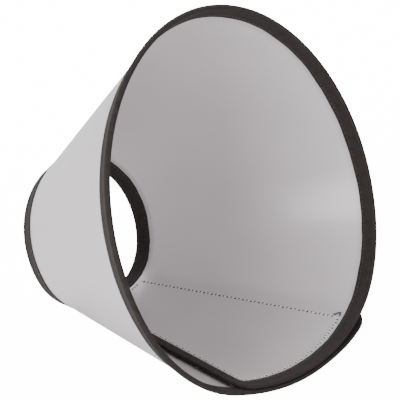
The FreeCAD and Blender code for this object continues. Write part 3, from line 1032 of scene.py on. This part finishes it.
@dataclass
class Fastener:
    """The loop panel on the inner flap's outer face and the hook strip on the outer flap's inner face."""

    shop: Workshop
    loop_pile: float = 0.9 * MM
    hook_width: float = 25.0 * MM
    hook_tape: float = 0.35 * MM
    margin: float = 1.0 * MM  # air between a patch and the tape beside it
    loop_end: float = 0.964  # turn at which the loop panel ends
    nap: float = 0.16 * MM  # how unevenly the pile stands
    edge_round: float = 1.2 * MM
    hook_pitch: float = 1.9 * MM
    hook_border: tuple = (1.5 * MM, 1.4 * MM)  # from the strip's end and side to the first hooks
    hook_stalk: float = 0.28 * MM
    hook_bow: float = 0.22 * MM  # radius of the hook's arc
    hook_bend: float = 2.4  # angle of the arc, in radians
    hook_rings: int = 5
    hook_sides: tuple = (0.15 * MM, 0.09 * MM)  # half the stalk's side at its foot and at its tip
    sink: float = 0.05 * MM  # least height of a patch's border, and how deep the hooks stand in their tape
    loop_grid: tuple = (130, 96)
    loop_cell: float = 1.05 * MM
    loop_rigid: int = 74  # columns of the loop panel that the rigid flap carries
    hook_grid: tuple = (100, 24)
    hook_cell: float = 1.2 * MM
    seed: int = 7

    def between_tapes(self) -> tuple[float, float]:
        """Distances along at which a patch starts and ends."""
        cut = self.shop.wrap.cut
        inset = cut.tape_outside + self.margin
        return inset, cut.depth - inset

    def pile(self, rows: int, columns: int, height: float, cell: float, nap: float) -> np.ndarray:
        """Height map of a cloth patch: a plateau with quarter-round edges and a random nap.

        The distance to the nearest border over the edge's radius gives the quarter circle.
        """
        up, over = np.meshgrid(np.arange(rows), np.arange(columns), indexing="ij")
        border = np.minimum(np.minimum(up, rows - 1 - up), np.minimum(over, columns - 1 - over)) * cell
        share = np.clip(border / self.edge_round, 0.0, 1.0)
        plateau = np.sqrt(1.0 - (1.0 - share) ** 2)
        rough = np.random.default_rng(self.seed).normal(size=(rows, columns))
        smooth = (rough + np.roll(rough, 1, 0) + np.roll(rough, 1, 1) + np.roll(rough, 1, (0, 1))) / 2.0
        return height * plateau + nap * np.clip(smooth, -2.0, 2.0) * share - nap * share

    def loop_panel(self) -> None:
        """The loop cloth, in two parts where it crosses from the rigid flap to the hinge strip."""
        wrap = self.shop.wrap
        low, high = self.between_tapes()
        along = np.linspace(low, high, self.loop_grid[0])[:, None]
        ahead = wrap.cut.tape_inside + self.margin
        start = wrap.turn_from_edge(0, ahead, wrap.slant(0, along))
        height = self.pile(*self.loop_grid, self.loop_pile, self.loop_cell, self.nap)
        split = self.loop_rigid
        skin = wrap.cut.skin / 2
        for strip, part, first, last in (
            (self.shop.strips[0], height[:, :split], start, FLAP_END),
            (self.shop.strips[1], height[:, split - 1 :], np.full_like(start, FLAP_END), self.loop_end),
        ):
            turn = first + (last - first) * np.linspace(0.0, 1.0, part.shape[1])
            grid = np.broadcast_to(along, turn.shape)
            made = closed_shell(wrap, turn, grid, skin, skin + np.maximum(part, self.sink))
            name = f"loop_cloth_{strip.name}"
            self.shop.piece(name, made, "loop_cloth", strip, ["loop_panel"], crease=80.0)

    def hook_strip(self) -> None:
        """The woven base of the hook strip and its rows of small hooks."""
        wrap = self.shop.wrap
        last = len(Wrap.PANELS) - 1
        strip = self.shop.strips[-1]
        low, high = self.between_tapes()
        along = np.linspace(low, high, self.hook_grid[0])[:, None]
        near = wrap.cut.tape_inside + self.margin
        slant = wrap.slant(last, along)
        outer_turn = wrap.turn_from_edge(last, near, slant)
        inner_turn = wrap.turn_from_edge(last, near + self.hook_width, slant)
        share = np.linspace(0.0, 1.0, self.hook_grid[1])
        turn = inner_turn + (outer_turn - inner_turn) * share
        grid = np.broadcast_to(along, turn.shape)
        skin = wrap.cut.skin / 2
        height = self.pile(*self.hook_grid, self.hook_tape, self.hook_cell, 0.0)
        made = closed_shell(wrap, turn, grid, -skin - np.maximum(height, self.sink), -skin)
        self.shop.piece("hook_tape", made, "hook_tape", strip, ["hook_strip"])
        self.hooks(strip, last, low, high, near)

    def hooks(self, strip: Strip, panel: int, low: float, high: float, near: float) -> None:
        """Rows of hooks: each a tapering square stalk that bends over by a quarter turn and more.

        The stalk's middle line is a straight rise and then an arc, and its side shrinks evenly.
        """
        wrap = self.shop.wrap
        angle = np.linspace(0.0, 1.0, self.hook_rings)[:, None] * self.hook_bend
        over = self.hook_bow * (1.0 - np.cos(angle))
        rise = self.hook_stalk + self.hook_bow * np.sin(angle)
        middle = np.vstack([[0.0, 0.0, 0.0], np.hstack([over, np.zeros_like(angle), rise])])
        side = np.linspace(*self.hook_sides, len(middle))
        square = np.array([[1.0, 1.0], [-1.0, 1.0], [-1.0, -1.0], [1.0, -1.0]])
        slope = np.concatenate([[0.0], angle.ravel()])
        across = np.stack([np.cos(slope), np.zeros(len(slope)), -np.sin(slope)], 1)
        upright = np.array([0.0, 1.0, 0.0])
        ring = middle[:, None] + side[:, None, None] * (
            square[None, :, :1] * across[:, None] + square[None, :, 1:] * upright
        )
        faces = tube_faces(len(middle), len(square))
        rows = np.arange(low + self.hook_border[0], high - MM, self.hook_pitch)
        columns = np.arange(near + self.hook_border[1], near + self.hook_width - MM, self.hook_pitch)
        ahead, along = (part.ravel() for part in np.meshgrid(columns, rows))
        turn = wrap.turn_from_edge(panel, ahead, wrap.slant(panel, along))
        off = -wrap.cut.skin / 2 - self.hook_tape + self.sink
        centres = wrap.place(turn, along, off)
        inward = -wrap.normal(turn)
        way = np.where(np.round(ahead / self.hook_pitch).astype(int) % 2 == 0, 1.0, -1.0)[:, None]
        forward = unit(wrap.place(turn, along + MM, off) - centres) * way
        frames = np.stack([forward, np.cross(inward, forward), inward], -1)
        made = repeated(ring.reshape(-1, 3), faces, frames, centres, turn)
        self.shop.piece("hooks", made, "hook_tape", strip)

    def build(self) -> None:
        """Make both halves of the fastener."""
        self.loop_panel()
        self.hook_strip()


@dataclass
class PatchSewing:
    """The pale stitches round the two patches, with a dark dot of painted shade at each needle hole."""

    shop: Workshop
    pitch: float = 2.7 * MM
    length: float = 2.5 * MM
    width: float = 1.15 * MM
    height: float = 0.9 * MM
    inset: float = 2.0 * MM  # sewing line to the patch's edge
    slant: float = 34.0
    # size of the dark dot painted as a needle hole's shade
    hole: float = 1.9 * MM
    tail: tuple = ((1.8, -3.9), (1.0, -3.2), (4.0, -0.3), (0.6, 0.3))  # across and forward, mm
    tail_radius: float = 0.4 * MM
    tail_points: int = 40
    tape_gap: float = 2.3 * MM  # inner sewing line to the tape's inner leg
    hole_height: float = 0.3 * MM
    lift: float = 0.12 * MM
    sides: int = 8  # corners of a stitch's section
    long_samples: int = 200
    short_samples: int = 120

    def patch_lines(self, fastener: Fastener, panel: int, inside: bool = False) -> list:
        """The four sides of a patch's sewing, as turns and distances along.

        The inner face's rows stand beside the tape's inner leg, which is narrower than the outer one.
        """
        wrap = self.shop.wrap
        low, high = fastener.between_tapes()
        low, high = low + self.inset, high - self.inset
        if inside:
            low = wrap.cut.tape_inside + self.tape_gap
            high = wrap.cut.depth - low
        along = np.linspace(low, high, self.long_samples)
        slant = wrap.slant(panel, along)
        near = wrap.cut.tape_inside + fastener.margin + self.inset
        first = wrap.turn_from_edge(panel, near, slant)
        if panel == 0:
            arc = slant * math.sin(wrap.half_angle[0]) * wrap.span[0]
            last = fastener.loop_end - self.inset / arc
        else:
            last = wrap.turn_from_edge(panel, near + fastener.hook_width - 2.0 * self.inset, slant)
        across = np.linspace(0.0, 1.0, self.short_samples)
        sides = [(first, along), (last, along)]
        for row in (0, -1):
            sides.append((first[row] + (last[row] - first[row]) * across, np.full_like(across, along[row])))
        return sides

    def rows(self, name: str, fastener: Fastener, panel: int, off: float, slot: str, replaced: str) -> None:
        """Stitches round one patch on one face, and between them dark dots painted as the needle holes'
        shade.
        """
        wrap = self.shop.wrap
        bar, bar_faces = rounded_bar(self.length, self.width, self.height, self.sides)
        # the dot is painted shade at a needle hole, made in the dark thread's finish
        dot, dot_faces = rounded_bar(self.hole, self.hole, self.hole_height, self.sides)
        stitches = hole_shade = None
        lifted = off + math.copysign(self.lift, off)
        inside = panel == 0 and off < 0.0
        for turn, along in self.patch_lines(fastener, panel, inside):
            made = stitch_row(wrap, turn, along, lifted, self.pitch, bar, bar_faces, self.slant)
            stitches = made if stitches is None else merge_repeated(stitches, made, len(bar))
            made = stitch_row(wrap, turn, along, off, self.pitch, dot, dot_faces, start=1.0)
            hole_shade = made if hole_shade is None else merge_repeated(hole_shade, made, len(dot))
        for strip in self.shop.strips:
            here = split_by_strip(stitches, strip, len(bar))
            if not len(here.points):
                continue
            self.shop.piece(f"{name}_{strip.name}", here, slot, strip, [replaced])
            # dark dots of painted shade at the needle holes
            here = split_by_strip(hole_shade, strip, len(dot))
            self.shop.piece(f"{name}_holes_{strip.name}", here, "dark_thread", strip)

    def knot(self, fastener: Fastener) -> None:
        """The dark tail of the sewing at the panel's corner: one thread, bent to and fro over the sheet.

        The thread's middle line runs straight between the tail's corners and arches off the sheet.
        """
        wrap = self.shop.wrap
        strip = self.shop.strips[1]
        turn, along = self.patch_lines(fastener, 0, True)[1]
        corner_turn, corner_along = float(turn[-1]), float(along[-1])
        arc = wrap.slant(0, corner_along) * math.sin(wrap.half_angle[0]) * wrap.span[0]
        bends = np.array(self.tail) * MM
        at_bend = np.arange(len(bends))
        share = np.linspace(0.0, len(bends) - 1.0, self.tail_points)
        at_turn = corner_turn + np.interp(share, at_bend, bends[:, 0]) / arc
        at_along = corner_along + np.interp(share, at_bend, bends[:, 1])
        arch = self.tail_radius * (1.1 + np.abs(np.sin(share * math.pi)))
        line = wrap.place(at_turn, at_along, -wrap.cut.skin / 2 - arch)
        made = round_thread(line, at_turn, np.full(len(share), self.tail_radius))
        self.shop.piece("thread_ends", made, "dark_thread", strip, ["thread_knot"], crease=70.0)

    def build(self, fastener: Fastener) -> None:
        """Make the sewing of both patches on both faces."""
        skin = self.shop.wrap.cut.skin / 2
        last = len(Wrap.PANELS) - 1
        loop, hook = "loop_panel_stitching", "hook_strip_stitching"
        self.rows("loop_sewing_inside", fastener, 0, -skin, "pale_thread", loop)
        self.rows("loop_sewing_cloth", fastener, 0, skin + fastener.loop_pile, "pale_thread", loop)
        self.rows("hook_sewing_outside", fastener, last, skin, "pale_thread", hook)
        self.rows("hook_sewing_hooks", fastener, last, -skin - fastener.hook_tape, "pale_thread", hook)
        self.knot(fastener)


def round_thread(line: np.ndarray, turn: np.ndarray, radius: np.ndarray, sides: int = 8) -> Surface:
    """A round thread along a line: circles of the given radii, square to the line.

    Args:
        line: Points of the middle line.
        turn: Their turns round the wall.
        radius: The thread's radius at each point.
        sides: Corners of the section.

    Returns:
        The closed thread.
    """
    along = unit(np.gradient(line, axis=0))
    side = unit(np.cross(along, [0.0, 0.0, 1.0]))
    up = np.cross(side, along)
    angle = np.arange(sides) * 2.0 * math.pi / sides
    ring = np.cos(angle)[:, None] * side[:, None] + np.sin(angle)[:, None] * up[:, None]
    points = line[:, None] + radius[:, None, None] * ring
    grid = np.broadcast_to(turn[:, None], points.shape[:2])
    round_it = angle * radius[:, None]
    uv = np.stack([np.broadcast_to(travelled(line)[:, None], grid.shape), round_it], -1)
    return carried_profile(points, grid, uv, flip=True)


# ---- the room ---------------------------------------------------------------------------------------


@dataclass(frozen=True)
class SoftBox:
    """A rectangular studio light, aimed at the collar."""

    name: str
    azimuth: float
    elevation: float
    distance: float
    width: float
    height: float
    power: float

    def light(self, aim: Vector) -> None:
        """Stand the light at its place and turn it to the aim."""
        data = bpy.data.lights.new(self.name, "AREA")
        data.shape = "RECTANGLE"
        data.size, data.size_y = self.width, self.height
        data.energy = self.power
        lamp = in_scene(self.name, data)
        away = direction(self.azimuth, self.elevation)
        lamp.location = aim + away * self.distance
        lamp.rotation_euler = away.to_track_quat("Z", "Y").to_euler()


def direction(azimuth: float, elevation: float) -> Vector:
    """Unit vector towards a viewer at an azimuth, 0 in front, and an elevation, in degrees."""
    turn, rise = math.radians(azimuth), math.radians(elevation)
    return Vector((math.sin(turn) * math.cos(rise), -math.cos(turn) * math.cos(rise), math.sin(rise)))


@dataclass(frozen=True)
class Studio:
    """A pale floor, an even white surround, soft lights and the camera."""

    azimuth: float = -51.6
    elevation: float = 20.9
    roll: float = 0.3
    distance: float = 0.816
    lens: float = 125.3
    aim: tuple = (0.0025, -0.0123, 0.0850)
    surround: float = 0.54
    floor_half: float = 8.0
    floor_glow: float = 14.0
    boxes: tuple = (
        SoftBox("key", -88.0, 20.0, 1.6, 0.9, 0.6, 28.0),
        SoftBox("front", 6.0, 26.0, 2.0, 1.0, 0.8, 14.0),
        SoftBox("crown", 135.0, 50.0, 1.5, 1.2, 0.9, 28.0),
    )

    def build(self) -> None:
        """Set up floor, surround, lights and camera."""
        self.floor()
        world = bpy.data.worlds.new("surround")
        world.use_nodes = True
        background = world.node_tree.nodes["Background"]
        background.inputs["Color"].default_value = (1.0, 1.0, 1.0, 1.0)
        background.inputs["Strength"].default_value = self.surround
        bpy.context.scene.world = world
        for box in self.boxes:
            box.light(Vector(self.aim))
        self.camera()

    def floor(self) -> None:
        """A square of pale matt floor at Z = 0, which looks lit to white but lights nothing itself."""
        half = self.floor_half
        mesh = bpy.data.meshes.new("floor")
        corners = [(-half, -half, 0.0), (half, -half, 0.0), (half, half, 0.0), (-half, half, 0.0)]
        mesh.from_pydata(corners, [], [(0, 1, 2, 3)])
        floor = in_scene("floor", mesh)
        recipe = Recipe("pale_floor", Specular_IOR_Level=0.1)
        cloud = recipe.noise(recipe.place("Object"), 2.0)
        colour = recipe.shades(cloud, (0.90, 0.90, 0.90), (0.93, 0.93, 0.93))
        recipe.shader.inputs["Emission Color"].default_value = (1.0, 1.0, 1.0, 1.0)
        seen = recipe.add("ShaderNodeLightPath")
        glow = recipe.spread(seen, 0.0, self.floor_glow)
        mesh.materials.append(recipe.finish(Base_Color=colour, Roughness=0.9, Emission_Strength=glow))

    def camera(self) -> None:
        """A long lens that looks at the aim; its axes are the matrix's columns."""
        data = bpy.data.cameras.new("camera")
        data.lens = self.lens
        camera = in_scene("camera", data)
        back = direction(self.azimuth, self.elevation)
        right = Vector((0.0, 0.0, 1.0)).cross(back).normalized()
        right = Matrix.Rotation(math.radians(self.roll), 3, back) @ right
        up = back.cross(right)
        camera.matrix_world = Matrix.Translation(Vector(self.aim) + back * self.distance) @ Matrix(
            (right, up, back)
        ).transposed().to_4x4()
        bpy.context.scene.camera = camera


def main() -> None:
    """Build the collar and the studio round the frame."""
    logging.basicConfig(level=logging.INFO, format="%(message)s")
    shop = Workshop(Wrap(SheetCut()), wall_strips())
    shop.materials = {
        "sheet_plastic": FrostedSheet().material(),
        "binding_tape": WovenTape().material(),
        "loop_cloth": BrushedLoop().material(),
        "hook_tape": HookPlastic().material(),
        "pale_thread": PALE_THREAD.material(),
        "dark_thread": DARK_THREAD.material(),
    }
    Studio().build()
    Wall(shop).build()
    Binding(shop).build()
    fastener = Fastener(shop)
    fastener.build()
    PatchSewing(shop).build(fastener)


if __name__ == "__main__":
    main()
